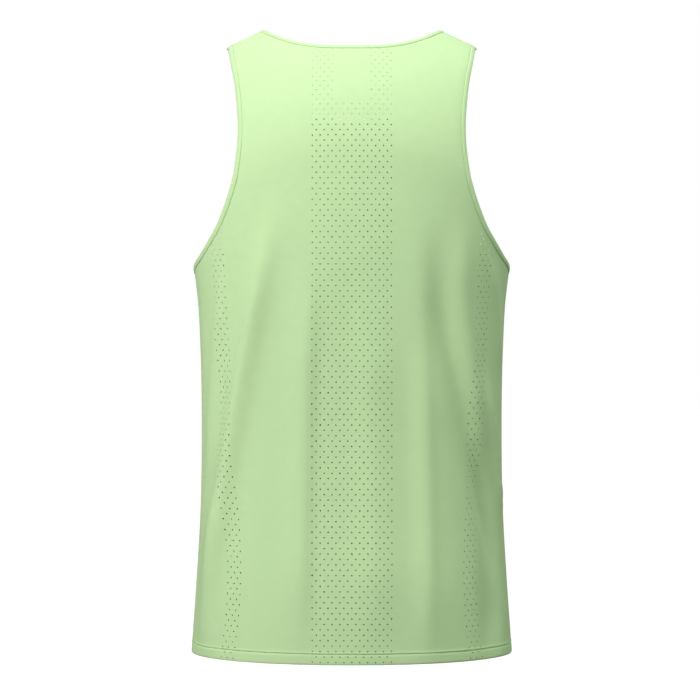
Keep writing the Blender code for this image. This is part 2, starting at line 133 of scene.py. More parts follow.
# Folds of the cloth.  Each runs down a path of three places, given as distance
# along the cloth from the centre line (wearer's left is positive) and height:
# across and up at its top, middle and bottom, half width on its +across side
# and on its other side, height (a trough's height is negative)
FOLDS = {
    BACK: np.array((
        (0.080, -0.170, 0.122, -0.370, 0.185, -0.670, 0.014, 0.014, 0.0085),
        (0.045, -0.240, 0.050, -0.430, 0.055, -0.690, 0.018, 0.010, 0.0055),
        (0.145, -0.240, 0.160, -0.340, 0.180, -0.500, 0.010, 0.010, 0.0030),
        (0.160, -0.480, 0.170, -0.580, 0.180, -0.700, 0.016, 0.016, 0.0030),
        (-0.015, -0.260, -0.025, -0.440, -0.025, -0.690, 0.022, 0.035, 0.0060),
        (-0.070, -0.200, -0.075, -0.400, -0.080, -0.700, 0.020, 0.012, 0.0035),
        (-0.078, -0.300, -0.082, -0.450, -0.088, -0.710, 0.015, 0.038, 0.0060),
        (-0.090, -0.200, -0.120, -0.400, -0.210, -0.640, 0.014, 0.014, -0.0050),
        (-0.120, -0.200, -0.130, -0.320, -0.165, -0.460, 0.013, 0.012, 0.0040),
        (-0.165, -0.240, -0.180, -0.300, -0.195, -0.380, 0.006, 0.007, 0.0025),
        (-0.155, -0.360, -0.175, -0.440, -0.205, -0.550, 0.006, 0.006, 0.0040),
        (-0.145, -0.430, -0.165, -0.560, -0.165, -0.700, 0.018, 0.018, -0.0055),
    )),
    FRONT: np.array((
        (0.085, -0.170, 0.120, -0.330, 0.170, -0.540, 0.015, 0.015, 0.0040),
        (0.060, -0.200, 0.080, -0.340, 0.100, -0.620, 0.018, 0.018, -0.0030),
        (0.025, -0.250, 0.030, -0.440, 0.025, -0.690, 0.015, 0.015, 0.0025),
        (-0.015, -0.230, -0.010, -0.420, -0.020, -0.690, 0.020, 0.020, -0.0025),
        (-0.055, -0.240, -0.055, -0.430, -0.050, -0.690, 0.015, 0.015, 0.0020),
        (-0.080, -0.190, -0.100, -0.340, -0.130, -0.620, 0.018, 0.018, -0.0035),
        (-0.095, -0.180, -0.125, -0.330, -0.170, -0.520, 0.014, 0.014, 0.0045),
        (0.145, -0.440, 0.150, -0.570, 0.155, -0.700, 0.016, 0.016, 0.0020),
        (-0.145, -0.450, -0.145, -0.580, -0.150, -0.700, 0.018, 0.018, -0.0020),
    )),
}
FOLD_TAPER = 0.28           # share of a fold's length that each end takes
SIDE_FADE = 0.030           # folds die out over this distance to a side seam

# The armhole's upper edge rolls away from the cloth's face
ROLL_WIDTH = 0.011
ROLL_DROP = 0.0018
ROLL_REACH = 1.3            # roll widths at which it stops growing, just past the edge
ROLL_FROM_Z = -0.17
ROLL_FULL_Z = -0.12

# Small holes, in a lattice that lies square to the centre line: a centre band
# from neck to hem, with a clear patch under the neck, and two side bands
CENTRE_BAND_COLUMNS = 10    # half pitches from the centre line to its edge
SIDE_BAND_COLUMNS = 2       # half pitches from a side band's middle to its edge
PLAIN_COLUMNS = 20          # mesh columns between the centre band and a side band
OUTER_COLUMNS = 12          # and from a side band to the fine columns at the seam
CLEAR_PATCH_HALF = 0.019
CLEAR_PATCH_Z = -0.080
HOLE_CORNERS = 8
BACKED_ABOVE_Z = -0.098     # above this level, and below the next, holes stop short
BACKED_BELOW_Z = HEM_Z + 0.028
HOLE_FLOOR = 0.0001         # thickness left under such a hole
SIDE_BAND = np.array((      # height, distance of the band's middle from the centre line
    (-0.6800, 0.1420),
    (-0.6400, 0.1360),
    (-0.5900, 0.1325),
    (-0.5400, 0.1345),
    (-0.4700, 0.1420),
    (-0.4000, 0.1430),
    (-0.3300, 0.1500),
    (-0.2600, 0.1545),
    (-0.1800, 0.1580),
))

# Heights above the hem's edge of the first mesh rows, in millimetres, and how
# far the outer face stands off the cloth there: a rounded edge, then the
# groove and the ridge of the cover stitching
HEM_PROFILE = np.array((
    (0.0, -0.45),
    (0.6, -0.08),
    (1.8, 0.08),
    (3.0, 0.10),
    (5.85, 0.12),
    (8.7, 0.10),
    (10.2, 0.05),
    (10.9, -0.35),
    (11.5, -0.45),
    (12.0, 0.10),
    (12.6, 0.32),
    (13.3, 0.10),
    (14.4, 0.00),
)) / 1000.0
HEM_INNER = np.array((      # height above the edge, depth of the inner face
    (0.0, 1.05),
    (0.6, 1.45),
    (11.5, 1.50),
    (12.0, 0.80),
    (13.3, 0.70),
)) / 1000.0
FIRST_HOLE_ROW = 0.003      # above the hem's edge
HEM_STATIONS = 241
HEM_THREAD_OFF = 0.00028    # the hem's stitches off the cloth's outer face
HOLE_ROW_SLACK = 0.00005    # a mesh row this near a hole row carries its holes

# Margins of the fine columns beside a side seam
SEAM_COLUMNS = (0.0045, 0.0030, 0.0018, 0.0010, 0.0005, SEAM_GAP / 2)
SEAM_DIP = 0.0006           # depth of the groove along a seam
SEAM_DIP_WIDTH = 0.0011
STRAP_TILT_Z = 0.012        # above this level the mesh rows tilt to the shoulder seam
TRIM = 0.0015               # the panels end this far inside their bindings
EDGE_SNAP = 0.00015         # mesh corners this near the cut edge lie on it

# Corners of a folded binding.  across: share of its width from its seam (0)
# to its fold (1).  off: height off the cloth's outer face, in millimetres
BINDING_SECTION = (
    # across, off
    (0.00, -0.30),
    (0.00, 0.10),
    (0.05, 0.34),
    (0.13, 0.46),
    (0.27, 0.56),
    (0.42, 0.62),
    (0.60, 0.64),
    (0.78, 0.56),
    (0.92, 0.34),
    (0.99, -0.02),
    (1.00, -0.38),
    (0.97, -0.78),
    (0.86, -1.12),
    (0.60, -1.30),
    (0.30, -1.26),
    (0.06, -1.15),
    (0.00, -0.95),
)
BINDING_STEP = 0.0025
DITCH_SHARE = -0.06         # the stitches run in the ditch beside the binding
NECK_DITCH = 0.00010        # height of the neck's stitches off the cloth
ARMHOLE_DITCH = ((-0.25, -0.12), (0.00016, -0.00012))   # levels, heights there

# Samples of a quarter section, of an edge path, of one span of a smooth
# curve and of a neck curve
ARC_SAMPLES = 65
EDGE_SAMPLES = 240
SPAN_SAMPLES = 24
NECK_SAMPLES = 40
PATH_BLOCKS = 8             # an edge path is compared in blocks, to save memory
STEP = 0.0002               # for slopes taken by differences
INSIDE = (0.0, 0.0, -0.3)   # a place in the hollow, which tells in from out
CREASE_ANGLE = math.radians(42)
MM = 0.001
MAP_CENTRE = (0.5, 0.75)    # where the origin lies on the flat map of the cut


def length_property(name, description, default, low, high):
    """A size in metres, shown in the scene's unit."""
    return FloatProperty(name=name, description=description, default=default,
                         min=low, max=high, unit='LENGTH', precision=5)


def hex_property(name, description, default):
    """A colour, as an sRGB hex value."""
    return StringProperty(name=name, description=description + ", as an sRGB hex value",
                          default=default)


class SingletCloth(bpy.types.PropertyGroup):
    """Sizes of the cloth, its holes and its sewing."""
    thickness: length_property(
        "Cloth thickness", "Thickness of one layer of the knitted cloth", 0.0007, 0.0003, 0.0015)
    fold_scale: FloatProperty(
        name="Fold depth", description="Depth of the folds, as a share of the natural drape",
        default=1.0, min=0.0, max=1.5, subtype='FACTOR')
    hole_diameter: length_property(
        "Hole diameter", "Diameter of each small round hole", 0.0016, 0.0005, 0.0024)
    hole_pitch: length_property(
        "Hole pitch", "Distance between the holes of one row", 0.0084, 0.006, 0.010)
    row_pitch: length_property(
        "Hole row pitch", "Distance between two rows of holes", 0.0057, 0.005, 0.007)
    neck_binding_width: length_property(
        "Neck binding width", "Visible width of the neck binding", 0.0048, 0.003, 0.006)
    armhole_binding_width: length_property(
        "Armhole binding width", "Visible width of the armhole bindings", 0.006, 0.004, 0.008)
    stitch_length: length_property(
        "Stitch length", "Length of one stitch of the sewing thread", 0.0026, 0.0015, 0.004)
    thread_diameter: length_property(
        "Thread diameter", "Diameter of the hem's sewing thread", 0.00034, 0.0001, 0.0006)
    neck_thread_diameter: length_property(
        "Neck thread diameter", "Diameter of the thread at the neck", 0.00036, 0.0001, 0.0006)
    armhole_thread_diameter: length_property(
        "Armhole thread diameter", "Diameter of the thread at the armholes",
        0.00048, 0.0001, 0.0008)


class SingletColours(bpy.types.PropertyGroup):
    """Colours of the cloth and the thread."""
    jersey: hex_property("Jersey", "Colour of the knitted panels", "#D4F0B9")
    # The knit's darker colour: painted shade in its grooves, and the darker patches of its dye
    jersey_groove_shade_and_dye: hex_property("Jersey shade", "Darker colour in the knit's grooves", "#C8E8AC")
    binding: hex_property("Binding", "Colour of the folded bindings", "#D2EFB6")
    # The inner face's colour, darkened as painted shade of the garment's hollow
    painted_shade_reverse: hex_property("Jersey reverse", "Colour of the panels' inner face", "#758C63")
    thread: hex_property("Hem thread", "Colour of the hem's sewing thread", "#C6E4AC")
    # A thread in the ditch, whose dark colour is painted shadow of the seam's groove
    seam_shadow_thread: hex_property("Ditch thread", "Colour of the thread beside the bindings",
                               "#93AE80")


class SingletStudio(bpy.types.PropertyGroup):
    """Camera and light of the studio."""
    camera_distance: FloatProperty(
        name="Camera distance", description="Camera to the plane of the side seams",
        default=2.4, min=1.0, max=6.0, unit='LENGTH')
    camera_height: FloatProperty(
        name="Camera height", description="Height of the camera, which looks level",
        default=-0.345, min=-1.0, max=0.5, unit='LENGTH')
    camera_shift: FloatProperty(
        name="Camera side step", description="Sideways place of the camera",
        default=0.0019, min=-0.1, max=0.1, unit='LENGTH', precision=4)
    lens: FloatProperty(
        name="Lens", description="Focal length of the camera",
        default=111.09, min=20.0, max=300.0, subtype='DISTANCE_CAMERA')
    key_power: FloatProperty(
        name="Key light", description="Power of the key light; the others are shares of it",
        default=54.3, min=0.0, max=500.0, subtype='POWER')
    fill_strength: FloatProperty(
        name="Fill", description="Strength of the even light from all round",
        default=0.02, min=0.0, max=2.0)
    backdrop: FloatVectorProperty(
        name="Backdrop", description="Colour of the floor and of the sky", subtype='COLOR',
        default=(1.0, 1.0, 1.0), min=0.0, max=1.0, size=3)


def eased(share):
    """Smooth rise from 0 to 1."""
    share = np.clip(share, 0.0, 1.0)
    return share * share * (3.0 - 2.0 * share)


def through_rows(heights, rows, level):
    """Smooth curve through a column of a table, read at any level."""
    slopes = np.gradient(rows, heights)
    index = np.clip(np.searchsorted(heights, level) - 1, 0, len(heights) - 2)
    span = heights[index + 1] - heights[index]
    share = np.clip((level - heights[index]) / span, 0.0, 1.0)
    rise = rows[index + 1] - rows[index]
    bow_low = slopes[index] * span - rise
    bow_high = rise - slopes[index + 1] * span
    curve = share * (1.0 - share) * (bow_low * (1.0 - share) + bow_high * share)
    return rows[index] + rise * share + curve


def section(side, level):
    """Half width and depth of the level section at a height."""
    column = 2 if side == BACK else 3
    level = np.clip(level, SECTIONS[0, 0], 0.0)
    half_width = through_rows(SECTIONS[:, 0], SECTIONS[:, 1], level)
    depth = through_rows(SECTIONS[:, 0], SECTIONS[:, column], level)
    return half_width, depth


def section_arc(half_width, depth):
    """Distances along a quarter section, from the centre line to the side."""
    turn = np.linspace(0.0, math.pi / 2, ARC_SAMPLES)
    power = 2.0 / SECTION_ROUNDNESS
    x = half_width[:, None] * np.sin(turn) ** power
    y = depth[:, None] * np.cos(turn).clip(0.0) ** power
    steps = np.hypot(np.diff(x, axis=1), np.diff(y, axis=1))
    arc = np.zeros_like(x)
    arc[:, 1:] = np.cumsum(steps, axis=1)
    return turn, arc


def side_distance(side, level):
    """Distance along the cloth from the centre line to the side seam."""
    levels, where = np.unique(np.atleast_1d(level), return_inverse=True)
    half_width, depth = section(side, levels)
    return section_arc(half_width, depth)[1][:, -1][where]


def section_turn(side, across, level):
    """Angle round the section that a distance along the cloth reaches."""
    half_width, depth = section(side, level)
    turn, arc = section_arc(half_width, depth)
    reach = np.clip(np.abs(across), 0.0, arc[:, -1])
    index = np.clip((arc < reach[:, None]).sum(axis=1) - 1, 0, ARC_SAMPLES - 2)
    rows = np.arange(len(reach))
    start = arc[rows, index]
    share = (reach - start) / (arc[rows, index + 1] - start)
    return half_width, depth, turn[index] + share * (turn[1] - turn[0])


def shoulder_line(x):
    """Height of the shoulder line, closed with a low crown over the neck."""
    x = np.abs(x)
    crown = (NECK_HALF_WIDTH ** 2 - np.minimum(x, NECK_HALF_WIDTH) ** 2) / (2 * NECK_HALF_WIDTH)
    fall = np.maximum(x - NECK_HALF_WIDTH, 0.0)
    return NECK_POINT_Z + SHOULDER_SLOPE * (crown - fall)


def form_point(side, across, up):
    """Point of the smooth form, before the folds."""
    half_width, depth, turn = section_turn(side, across, np.minimum(up, 0.0))
    power = 2.0 / SECTION_ROUNDNESS
    x = np.sign(across) * half_width * np.sin(turn) ** power
    reach = depth * np.cos(turn).clip(0.0) ** power
    bend = SHOULDER_BEND[side]
    line = shoulder_line(x)
    tilt = (line - bend - up) / bend + math.pi / 2
    tilt = np.clip(tilt, 0.0, math.pi / 2)
    upright = tilt >= math.pi / 2
    z = np.where(upright, up, line - bend * (1.0 - np.cos(tilt)))
    return np.stack((x, side * reach * np.sin(tilt), z), axis=-1)


def fold_height(side, across, up):
    """How far the folds lift the cloth off the smooth form."""
    total = np.zeros_like(across)
    for top_s, top_h, mid_s, mid_h, low_s, low_h, half, other_half, height in FOLDS[side]:
        share = (top_h - up) / (top_h - low_h)
        mid_share = (top_h - mid_h) / (top_h - low_h)
        chord = top_s + (low_s - top_s) * share
        bow = mid_s - (top_s + (low_s - top_s) * mid_share)
        path = chord + bow * share * (1.0 - share) / (mid_share * (1.0 - mid_share))
        lean = (low_s - top_s) / (top_h - low_h)
        away = (across - path) / math.hypot(1.0, lean)
        ends = eased(share / FOLD_TAPER) * eased((1.0 - share) / FOLD_TAPER)
        width = np.where(away > 0.0, half, other_half)
        total += height * ends * np.exp(-(away / width) ** 2)
    margin = side_distance(side, np.minimum(up, 0.0)) - np.abs(across)
    return total * eased(margin / SIDE_FADE) * bpy.context.scene.singlet_cloth.fold_scale


def armhole_roll(side, across, up):
    """How far the armhole's upper edge has rolled away from the face."""
    path = ARMHOLE_PATH[side]
    edge = np.interp(up, path[::-1, 1], path[::-1, 0])
    near = np.clip(1.0 - (edge - np.abs(across)) / ROLL_WIDTH, 0.0, ROLL_REACH)
    return ROLL_DROP * near ** 2 * eased((up - ROLL_FROM_Z) / (ROLL_FULL_Z - ROLL_FROM_Z))


def inward_step(across):
    """A small step towards the centre line, which never leaves the panel."""
    return np.where(across >= 0.0, -STEP, STEP)


def outward(side, point_at, across, up):
    """Unit vector out of the cloth, from two short steps along it."""
    here = point_at(side, across, up)
    step = inward_step(across)
    along = (point_at(side, across + step, up) - here) / step[:, None]
    rise = (here - point_at(side, across, up - STEP)) / STEP
    normal = np.cross(rise, along) * side
    normal *= np.sign((normal * (here - INSIDE)).sum(axis=1))[:, None]
    return normal / np.linalg.norm(normal, axis=1)[:, None]


def surface_point(side, across, up):
    """Point of the cloth's outer face, folds and all."""
    across = np.asarray(across, dtype=float)
    up = np.asarray(up, dtype=float)
    lift = fold_height(side, across, up) - armhole_roll(side, across, up)
    return form_point(side, across, up) + outward(side, form_point, across, up) * lift[:, None]


def lifted(side, across, up, *heights):
    """Points at given heights off the cloth's outer face, inwards if negative."""
    base = surface_point(side, across, up)
    out = outward(side, surface_point, across, up)
    return [base + out * np.broadcast_to(height, across.shape)[:, None] for height in heights]


def shoulder_up(side, across, clearance=0.0):
    """The up coordinate of the shoulder seam, or of its cleared edge."""
    across = np.atleast_1d(across)
    level = np.zeros(len(across))
    _, depth, turn = section_turn(side, across, level)
    point = form_point(side, across, level)
    bend = SHOULDER_BEND[side]
    reach = depth * np.cos(turn) ** (2.0 / SECTION_ROUNDNESS)
    seam = shoulder_line(point[:, 0]) + bend * (math.pi / 2 - 1.0)
    return seam - clearance * bend / reach


def flatten(side, x, z):
    """Cloth coordinates of a place given by distance from centre and height."""
    half_width, depth = section(side, np.full(1, min(z, 0.0)))
    turn, arc = section_arc(half_width, depth)
    share = np.clip(x / half_width[0], 0.0, 1.0)
    angle = math.asin(share ** (SECTION_ROUNDNESS / 2.0))
    across = np.interp(angle, turn, arc[0])
    bend = SHOULDER_BEND[side]
    fall = shoulder_line(x) - z
    if fall >= bend:
        return across, z
    tilt = math.acos(1.0 - max(fall, 0.0) / bend)
    return across, z + fall - bend + bend * (math.pi / 2 - tilt)


def smooth_path(places, samples):
    """Even samples of a smooth curve through a few places."""
    places = np.asarray(places, dtype=float)
    padded = np.vstack((2 * places[0] - places[1], places, 2 * places[-1] - places[-2]))
    pieces = []
    for a, b, c, d in zip(padded, padded[1:], padded[2:], padded[3:]):
        share = np.linspace(0.0, 1.0, SPAN_SAMPLES, endpoint=False)[:, None]
        pieces.append(0.5 * (2 * b + (c - a) * share
                             + (2 * a - 5 * b + 4 * c - d) * share ** 2
                             + (3 * b - a - 3 * c + d) * share ** 3))
    return even_samples(np.vstack(pieces + [places[-1:]]), samples)


def path_length(path):
    """Running length at each point of a path."""
    length = np.zeros(len(path))
    length[1:] = np.cumsum(np.linalg.norm(np.diff(path, axis=0), axis=1))
    return length


def even_samples(path, samples):
    """The same path with evenly spaced samples."""
    length = path_length(path)
    marks = np.linspace(0.0, length[-1], samples)
    return np.stack([np.interp(marks, length, path[:, k]) for k in (0, 1)], axis=1)


def armhole_edge(side):
    """Finished armhole edge in cloth coordinates, shoulder tip to underarm."""
    places = [flatten(side, TIP_X, NECK_POINT_Z - SHOULDER_FALL)]
    places += [flatten(side, x, z) for x, z in ARMHOLE_EDGE[side]]
    places.append((side_distance(side, UNDERARM_Z)[0], UNDERARM_Z))
    mirror = (2 * places[-1][0] - places[-2][0], places[-2][1])
    path = smooth_path(places + [mirror], 2 * EDGE_SAMPLES)
    path = path[path[:, 0] <= places[-1][0]]
    path = np.vstack((path, places[-1]))
    return even_samples(path, EDGE_SAMPLES)


def neck_edge(side):
    """Finished neck edge in cloth coordinates, centre line to shoulder."""
    if side == BACK:
        share = np.linspace(0.0, 1.0, NECK_SAMPLES)
        drop = BACK_NECK_DROP * (1.0 - share ** BACK_NECK_POWER)
    else:
        angle = np.linspace(0.0, math.pi / 2, NECK_SAMPLES)
        share = np.sin(angle) ** FRONT_NECK_ACROSS
        drop = FRONT_NECK_DROP * np.cos(angle).clip(0.0) ** FRONT_NECK_DOWN
    path = [flatten(side, NECK_HALF_WIDTH * k, NECK_POINT_Z - d) for k, d in zip(share, drop)]
    return even_samples(np.array(path), EDGE_SAMPLES)


ARMHOLE_PATH = {side: armhole_edge(side) for side in (BACK, FRONT)}
NECK_PATH = {side: neck_edge(side) for side in (BACK, FRONT)}


def moved_in(path, distance):
    """The path moved into the cloth by a distance, at every sample."""
    tangent = np.gradient(path, axis=0)
    tangent /= np.linalg.norm(tangent, axis=1)[:, None]
    return path + distance * np.stack((tangent[:, 1], -tangent[:, 0]), axis=1)


def edge_distance(side, across, up):
    """Distance into the cloth from the nearest finished edge, negative outside."""
    place = np.stack((np.abs(across), up), axis=1)
    nearest = []
    for path, cloth_is_outwards in ((NECK_PATH[side], True), (ARMHOLE_PATH[side][::-1], False)):
        gap = np.full(len(place), np.inf)
        for block in np.array_split(path, PATH_BLOCKS):
            away = np.linalg.norm(place[:, None] - block[None], axis=2)
            gap = np.minimum(gap, away.min(axis=1))
        edge = np.interp(up, path[:, 1], path[:, 0])
        inside = place[:, 0] >= edge if cloth_is_outwards else place[:, 0] <= edge
        inside |= up < path[0, 1]
        nearest.append(np.where(inside, gap, -gap))
    return np.minimum(*nearest)


def half_columns(side, up):
    """Distances of the mesh columns from the centre line, at each row."""
    half_pitch = bpy.context.scene.singlet_cloth.hole_pitch / 2
    seam = side_distance(side, np.minimum(up, 0.0))
    middle = through_rows(SIDE_BAND[:, 0], SIDE_BAND[:, 1], up)
    centre = half_pitch * np.arange(CENTRE_BAND_COLUMNS + 2)
    margin = SIDE_BAND_COLUMNS + 1
    band = middle[:, None] + half_pitch * np.arange(-margin, margin + 1)
    between = np.linspace(0.0, 1.0, PLAIN_COLUMNS + 1)[1:-1]
    beyond = np.linspace(0.0, 1.0, OUTER_COLUMNS + 1)[1:]
    first = centre[-1] + (band[:, :1] - centre[-1]) * between
    last = band[:, -1:] + (seam[:, None] - SEAM_COLUMNS[0] - band[:, -1:]) * beyond
    fine = seam[:, None] - np.array(SEAM_COLUMNS[1:])
    rows = np.ones((len(up), 1))
    return np.hstack((rows * centre, first, band, last, fine))


def row_levels(side):
    """Levels of the mesh rows from the hem to the shoulder, before they tilt."""
    half_row = bpy.context.scene.singlet_cloth.row_pitch / 2
    top = shoulder_up(side, NECK_PATH[side][-1, 0])[0]
    start = HEM_PROFILE[-1, 0]
    count = int((top - HEM_Z - start) / half_row)
    levels = np.linspace(start, start + half_row * count, count + 1)
    return np.concatenate((HEM_Z + HEM_PROFILE[:-1, 0], HEM_Z + levels))


def hole_rows(levels):
    """Number of each row that carries holes, or -1."""
    pitch = bpy.context.scene.singlet_cloth.row_pitch
    number = (levels - HEM_Z - FIRST_HOLE_ROW) / pitch
    whole = np.abs(number - number.round()) * pitch < HOLE_ROW_SLACK
    return np.where(whole, number.round(), -1).astype(int)


def panel_lattice(side):
    """Cloth coordinates of the whole panel's mesh rows and columns."""
    levels = row_levels(side)
    half = half_columns(side, levels)
    across = np.hstack((-half[:, :0:-1], half))
    up = np.repeat(levels[:, None], across.shape[1], axis=1)
    seam = shoulder_up(side, across.ravel(), SEAM_GAP / 2).reshape(across.shape)
    share = np.clip((up - STRAP_TILT_Z) / (levels[-1] - STRAP_TILT_Z), 0.0, 1.0)
    return across, up + share * (seam - levels[-1]), hole_rows(levels)


def hole_places(across, up, numbers):
    """Marks the lattice places that carry a hole."""
    rows, columns = across.shape
    marks = np.zeros((rows, columns), dtype=bool)
    middle = columns // 2
    half_count = CENTRE_BAND_COLUMNS
    band_middle = half_count + 1 + PLAIN_COLUMNS + SIDE_BAND_COLUMNS + 1
    for row in np.flatnonzero(numbers >= 0):
        for step in range(-half_count, half_count + 1):
            clear = (abs(across[row, middle + step]) < CLEAR_PATCH_HALF
                     and up[row, middle] > CLEAR_PATCH_Z)
            if (step + numbers[row]) % 2 == 0 and not clear:
                marks[row, middle + step] = True
        for step in range(-SIDE_BAND_COLUMNS, SIDE_BAND_COLUMNS + 1):
            if (step + numbers[row]) % 2 == 0:
                marks[row, middle + band_middle + step] = True
                marks[row, middle - band_middle - step] = True
    return marks


def cut_cells(across, up, inside, marks, radius):
    """Cells of a panel cut along its edges and punched with its holes.

    Returns the cloth coordinates of all corners, the cells' corner lists and
    the rings of corners round the holes.
    """
    rows, columns = across.shape
    places = list(zip(across.ravel(), up.ravel()))
    grid = np.arange(rows * columns).reshape(rows, columns)
    keep = inside >= 0.0
    flat_inside = inside.ravel()
    whole = np.zeros_like(marks)
    whole[1:-1, 1:-1] = True
    for down, along in np.ndindex(3, 3):
        whole &= np.roll(keep, (down - 1, along - 1), axis=(0, 1))
    punched = {}
    for row, column in zip(*np.nonzero(marks & whole)):
        ring = []
        for corner in range(HOLE_CORNERS):
            angle = 2 * math.pi * corner / HOLE_CORNERS
            ring.append(len(places))
            places.append((across[row, column] + radius * math.cos(angle),
                           up[row, column] + radius * math.sin(angle)))
        punched[grid[row, column]] = ring
    # The corners of a hole's ring that the cell on each side of it takes
    quarter = ((2, 1, 0), (4, 3, 2), (6, 5, 4), (0, 7, 6))
    crossings = {}

    def crossing(inner, outer):
        """The place where a cell's side leaves the cloth."""
        key = (inner, outer)
        if key not in crossings:
            gap = flat_inside[inner] / (flat_inside[inner] - flat_inside[outer])
            a, b = np.array(places[inner]), np.array(places[outer])
            crossings[key] = len(places)
            places.append(tuple(a + (b - a) * gap))
        return crossings[key]

    cells = []
    for row, column in np.ndindex(rows - 1, columns - 1):
        corners = (grid[row, column], grid[row, column + 1],
                   grid[row + 1, column + 1], grid[row + 1, column])
        kept = [flat_inside[corner] >= 0.0 for corner in corners]
        if not any(kept):
            continue
        cell = []
        for place, corner in enumerate(corners):
            following = corners[(place + 1) % 4]
            if kept[place]:
                if corner in punched:
                    cell += [punched[corner][k] for k in quarter[place]]
                else:
                    cell.append(corner)
                if not kept[(place + 1) % 4] and flat_inside[corner] > 0.0:
                    cell.append(crossing(corner, following))
            elif kept[(place + 1) % 4] and flat_inside[following] > 0.0:
                cell.append(crossing(following, corner))
        if len(cell) > 2:
            cells.append(tuple(cell))
    return np.array(places), cells, list(punched.values())


def flat_map(across, up):
    """Places on the flat map of the cut, in metres."""
    return np.stack((across, up), axis=1) + MAP_CENTRE


def stops_short(up):
    """Whether a hole at this height stops at a layer lying close behind it."""
    return up > BACKED_ABOVE_Z or up < BACKED_BELOW_Z


def cloth_wall(name, places, cells, rings, side):
    """A closed wall of cloth from its cells, with its cut as a UV map."""
    used = sorted({corner for cell in cells for corner in cell})
    number = {corner: k for k, corner in enumerate(used)}
    across, up = places[used].T
    cells = [tuple(number[corner] for corner in cell) for cell in cells]
    blind = [tuple(number[corner] for corner in ring) for ring in rings
             if stops_short(places[ring[0]][1]) and number.keys() >= set(ring)]
    if side == BACK:
        cells = [cell[::-1] for cell in cells]
        blind = [ring[::-1] for ring in blind]
    deep = inner_face(up)
    outer, inner, floor = lifted(side, across, up, outer_relief(side, across, up), deep,
                                 deep + HOLE_FLOOR)
    count = len(used)
    bottom = {corner: corner + count for corner in range(count)}
    for ring in blind:
        for corner in ring:
            bottom[corner] = corner + 2 * count
    sides = Counter()
    for cell in cells:
        for pair in zip(cell, cell[1:] + cell[:1]):
            sides[frozenset(pair)] += 1
    rim = []
    for cell in cells:
        for a, b in zip(cell, cell[1:] + cell[:1]):
            if sides[frozenset((a, b))] == 1:
                rim.append((b, a, bottom[a], bottom[b]))
    faces = cells + [tuple(k + count for k in cell[::-1]) for cell in cells] + rim
    faces += [tuple(k + 2 * count for k in ring) for ring in blind]
    faces += [tuple(k + count for k in ring[::-1]) for ring in blind]
    vertices = np.vstack((outer, inner, floor))
    cut = np.tile(flat_map(across, up), (3, 1))
    used = sorted({corner for face in faces for corner in face})
    number = {corner: k for k, corner in enumerate(used)}
    faces = [tuple(number[corner] for corner in face) for face in faces]
    obj = new_object(name, vertices[used], faces, cut[used],
                     knit("polyester_jersey_lime"), knit("polyester_painted_shade_reverse"))
    # The inner faces take the darker reverse colour: painted shade inside the garment
    painted_shade_faces = np.zeros(len(obj.data.polygons), dtype=np.int32)
    painted_shade_faces[len(cells):2 * len(cells)] = 1
    floors = 2 * len(cells) + len(rim)
    # The floors of the stopped holes near the hem take it too: painted shade in those holes
    painted_shade_faces[floors:floors + len(blind)] = [min(up[list(ring)]) < BACKED_BELOW_Z
                                              for ring in blind]
    obj.data.polygons.foreach_set("material_index", painted_shade_faces)
    return obj


def new_object(name, vertices, faces, cut, *materials):
    """A named mesh object whose UV map holds its places on the flat cloth."""
    mesh = bpy.data.meshes.new(name)
    mesh.from_pydata([tuple(v) for v in vertices], [], faces)
    layer = mesh.uv_layers.new(name="cut")
    corners = np.empty(len(mesh.loops), dtype=np.int32)
    mesh.loops.foreach_get("vertex_index", corners)
    layer.uv.foreach_set("vector", np.asarray(cut, dtype=np.float32)[corners].ravel())
    for material in materials:
        mesh.materials.append(material)
    mesh.shade_smooth()
    mesh.set_sharp_from_angle(angle=CREASE_ANGLE)
    mesh.validate()
    obj = bpy.data.objects.new(name, mesh)
    bpy.context.scene.collection.objects.link(obj)
    return obj


def outer_relief(side, across, up):
    """How far the outer face stands off the cloth at the hem and the seams."""
    hem = np.interp(up - HEM_Z, HEM_PROFILE[:, 0], HEM_PROFILE[:, 1])
    margin = side_distance(side, np.minimum(up, 0.0)) - np.abs(across)
    seam = SEAM_DIP * np.exp(-(margin / SEAM_DIP_WIDTH) ** 2)
    to_shoulder = shoulder_up(side, across) - up
    shoulder = SEAM_DIP * np.exp(-(to_shoulder / SEAM_DIP_WIDTH) ** 2)
    return hem - seam - shoulder


def inner_face(up):
    """Height of the inner face off the cloth's outer face, which is negative."""
    thickness = bpy.context.scene.singlet_cloth.thickness
    depth = np.interp(up - HEM_Z, HEM_INNER[:, 0], HEM_INNER[:, 1])
    return -np.maximum(depth, thickness)


def make_panel(name, side, perforated):
    """A front or back panel, cut, punched, hemmed and draped."""
    across, up, numbers = panel_lattice(side)
    distance = edge_distance(side, across.ravel(), up.ravel()).reshape(across.shape) - TRIM
    distance[np.abs(distance) < EDGE_SNAP] = 0.0
    marks = hole_places(across, up, numbers) if perforated else np.zeros(across.shape, bool)
    radius = bpy.context.scene.singlet_cloth.hole_diameter / 2
    places, cells, rings = cut_cells(across, up, distance, marks, radius)
    return cloth_wall(name, places, cells, rings, side)


def edge_stations(side, path, width, at_neck):
    """A finished edge and the same edge moved in, at even stations."""
    count = int(round(path_length(path)[-1] / BINDING_STEP))
    pick = np.linspace(0, len(path) - 1, count + 1)
    whole = np.arange(len(path))

    def at(stations):
        return np.stack([np.interp(pick, whole, stations[:, k]) for k in (0, 1)], axis=1)

    edge, inner = at(path), at(moved_in(path, width))
    if at_neck:
        inner[0, 0] = 0.0
        inner[-1, 1] = shoulder_up(side, inner[-1, 0])[0]
    else:
        inner[0, 1] = shoulder_up(side, inner[0, 0])[0]
        inner[-1, 0] = side_distance(side, inner[-1, 1])[0]
    return edge, inner


